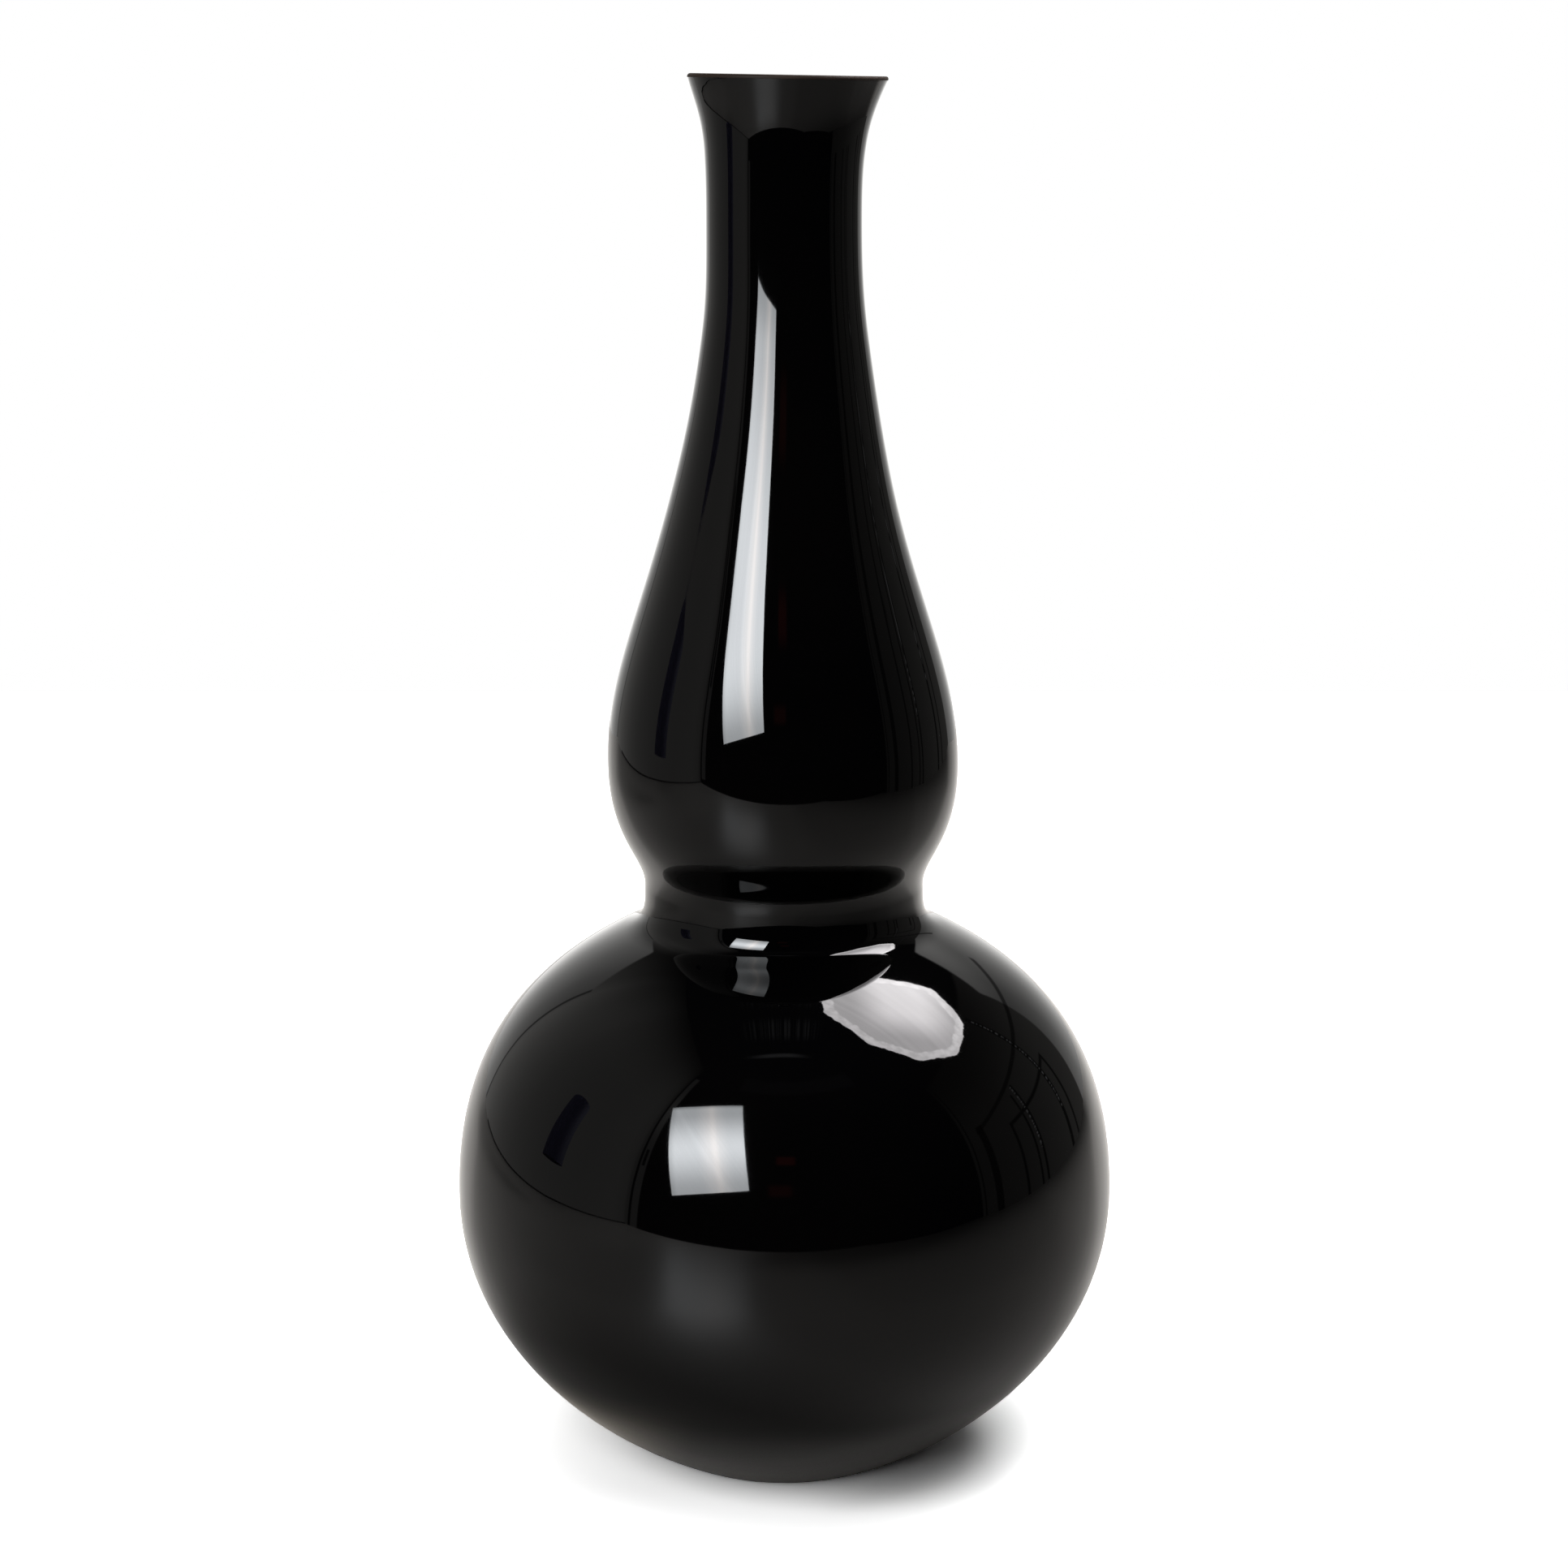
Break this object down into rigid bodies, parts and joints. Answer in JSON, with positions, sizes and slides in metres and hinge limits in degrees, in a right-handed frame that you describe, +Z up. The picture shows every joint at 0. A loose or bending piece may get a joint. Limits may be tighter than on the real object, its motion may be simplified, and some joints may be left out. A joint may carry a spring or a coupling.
{
  "type": "double gourd vase",
  "caption": "Tall double gourd vase with a round lower globe, a waisted upper gourd, a slim neck and a flared thin-lipped mouth, in glossy black glaze, for cut stems or display.",
  "frame": {"origin": "middle of the foot ring, on the surface that the vase stands on", "axes": "+Z up along the vase's axis; the profile is round, so +X and +Y are free, and the picture looks along +Y"},
  "size_m": [0.24, 0.24, 0.5],
  "materials": {
    "black_glaze": "mirror-black gloss glaze over thrown clay, breaking to brown on the lip",
    "fired_slip": "fired clay slip in the luted joints"
  },
  "bodies": {
    "root": {"lower_globe": "black_glaze", "waist_luting_seam": "fired_slip", "upper_gourd": "black_glaze", "neck_luting_seam": "fired_slip", "neck_and_mouth": "black_glaze"}
  },
  "joints": []
}
